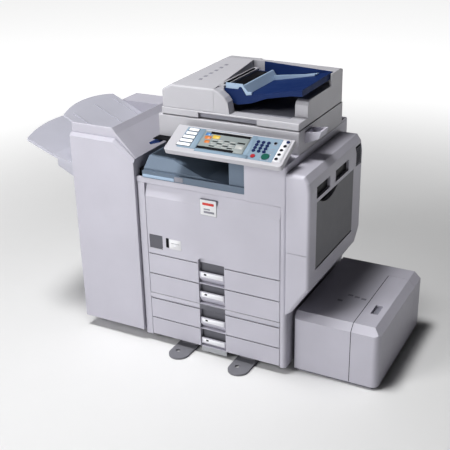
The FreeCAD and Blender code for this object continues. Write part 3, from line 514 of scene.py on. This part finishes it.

# ------------------------------------------------------------------ side paper deck

# Printed marks, a grey plate painted as the shade in the grip, and a black strip painted as the
# shade in the seam over the front bevel and the lid.
for number, (x, y) in enumerate(((704, 208), (728, 262), (756, 257), (784, 252)), 1):
    slab(f"deck_mark_{number}", "machine", MID_GREY, (x, x + 20), (y, y + 13),
         (DECK_TOP - 0.6, DECK_TOP + 0.15), 0.1)
slab("deck_grip_painted_shade", "deck_door", MID_GREY, (853, 879), (168, 235), (241.5, 242.6), 0.2)
prism("deck_seam_painted_shade", "machine", BLACK, "YZ", DECK_SPLIT - 1.2, DECK_SPLIT + 0.8, [
    (DECK_FRONT - 0.15, 16), (DECK_FRONT - 0.15, DECK_TOP - DECK_BEVEL + 0.1),
    (DECK_FRONT + DECK_BEVEL - 0.1, DECK_TOP + 0.15), (489, DECK_TOP + 0.15),
    (489, DECK_TOP - 5), (DECK_FRONT + DECK_BEVEL + 2, DECK_TOP - 5),
    (DECK_FRONT + 5, DECK_TOP - DECK_BEVEL - 2), (DECK_FRONT + 5, 16)], 0.1)

# ------------------------------------------------------------------ back

# Vents and interface panel in the rear cover's recesses, and a grid of screws.
for number, left in enumerate((60, 330), 1):
    prism(f"rear_vent_{number}", "machine", BLACK, "XZ", RECESS_FLOOR - 0.2, RECESS_FLOOR + 0.6,
          rounded((left + 1, left + 149), (561, 679), 3), 0.2)
    louvres(f"rear_vent_slats_{number}", "machine", SHELL, "XZ", RECESS_FLOOR + 0.4, 3,
            (left + 2, left + 148), (563, 677), 10, 4)
prism("interface_panel", "machine", GREY, "XZ", RECESS_FLOOR - 0.2, RECESS_FLOOR + 0.8,
      rounded((21, 89), (301, 469), 3), 0.3)
for number, z in enumerate((320, 356, 392, 428), 1):
    prism(f"interface_port_{number}", "machine", BLACK, "XZ",
          RECESS_FLOOR + 0.5, RECESS_FLOOR + 1.4, rounded((36, 74), (z, z + 18), 2), 0.3)
screws("rear_screws", "machine", STEEL, "XZ", 588.6, [
    (x, z) for x in (-30, 180, 360, 564) for z in (60, 520, 840)])

# ------------------------------------------------------------------ stage, lights, camera

FLOOR_REACH = 60.0  # metres from the middle to each edge
GLOW_START, GLOW_END, GLOW = 1.2, 4.5, 0.68  # metres, metres, strength
HAZE_TOP, HAZE, OVERHEAD = 0.2, 0.35, 0.03  # Z of the direction, strength, strength


def floor_material():
    """Pale floor that glows more with distance, so that it ends in near white."""
    material = moulded("floor_white", (0.76, 0.76, 0.76), 0.9, 60, 0.0, 0.004)
    tree = material.node_tree
    shader = tree.nodes["Principled BSDF"]
    place = tree.nodes.new("ShaderNodeTexCoord")
    distance = tree.nodes.new("ShaderNodeVectorMath")
    distance.operation = "LENGTH"
    glow = tree.nodes.new("ShaderNodeMapRange")
    glow.interpolation_type = "SMOOTHSTEP"
    glow.inputs["From Min"].default_value = GLOW_START
    glow.inputs["From Max"].default_value = GLOW_END
    glow.inputs["To Max"].default_value = GLOW
    tree.links.new(place.outputs["Object"], distance.inputs[0])
    tree.links.new(distance.outputs["Value"], glow.inputs["Value"])
    tree.links.new(glow.outputs["Result"], shader.inputs["Emission Strength"])
    shader.inputs["Emission Color"].default_value = (1, 1, 1, 1)
    return material


floor_mesh = bpy.data.meshes.new("floor")
floor_mesh.from_pydata([(-FLOOR_REACH, -FLOOR_REACH, 0), (FLOOR_REACH, -FLOOR_REACH, 0),
                        (FLOOR_REACH, FLOOR_REACH, 0), (-FLOOR_REACH, FLOOR_REACH, 0)],
                       [], [(0, 1, 2, 3)])
floor_mesh.materials.append(floor_material())
floor = bpy.data.objects.new("floor", floor_mesh)
bpy.context.scene.collection.objects.link(floor)

# Dim studio overhead with a brighter haze near the horizon.
world = bpy.data.worlds.new("studio")
world.use_nodes = True
sky = world.node_tree
heading = sky.nodes.new("ShaderNodeTexCoord")
split = sky.nodes.new("ShaderNodeSeparateXYZ")
haze = sky.nodes.new("ShaderNodeMapRange")
haze.interpolation_type = "SMOOTHSTEP"
haze.inputs["From Max"].default_value = HAZE_TOP
haze.inputs["To Min"].default_value = HAZE
haze.inputs["To Max"].default_value = OVERHEAD
sky.links.new(heading.outputs["Generated"], split.inputs["Vector"])
sky.links.new(split.outputs["Z"], haze.inputs["Value"])
sky.links.new(haze.outputs["Result"], sky.nodes["Background"].inputs["Strength"])
sky.nodes["Background"].inputs["Color"].default_value = (1, 1, 1, 1)
bpy.context.scene.world = world


def light(name, place, target, power, width, height):
    """Rectangular lamp at a place in metres, aimed at a target."""
    lamp = bpy.data.lights.new(name, "AREA")
    lamp.shape = "RECTANGLE"
    lamp.size = width
    lamp.size_y = height
    lamp.energy = power
    holder = bpy.data.objects.new(name, lamp)
    bpy.context.scene.collection.objects.link(holder)
    holder.location = place
    aim = Vector(target) - Vector(place)
    holder.rotation_euler = aim.to_track_quat("-Z", "Y").to_euler()


light("key", (-3.0, -5.0, 3.9), (0, 0, 0.5), 165, 2.2, 2.2)
light("low_front", (-1.5, -5.0, 0.8), (0.2, 0, 0.5), 44, 1.8, 0.9)
light("top", (-0.6, -0.9, 5.4), (0, 0.0, 0.7), 190, 1.3, 1.3)

camera_data = bpy.data.cameras.new("camera")
camera_data.lens = 68.64
camera_data.sensor_width = 36
camera = bpy.data.objects.new("camera", camera_data)
bpy.context.scene.collection.objects.link(camera)
camera.matrix_world = (
    Matrix.Translation(Vector((1.6978, -2.5479, 1.8691)) + SHIFT)
    @ Matrix.Rotation(math.radians(28.17), 4, "Z")
    @ Matrix.Rotation(math.radians(90 - 23.94), 4, "X")
    @ Matrix.Rotation(math.radians(-1.27), 4, "Z"))
bpy.context.scene.camera = camera
bpy.context.scene.view_settings.view_transform = "Standard"
bpy.context.scene.view_settings.look = "Medium High Contrast"
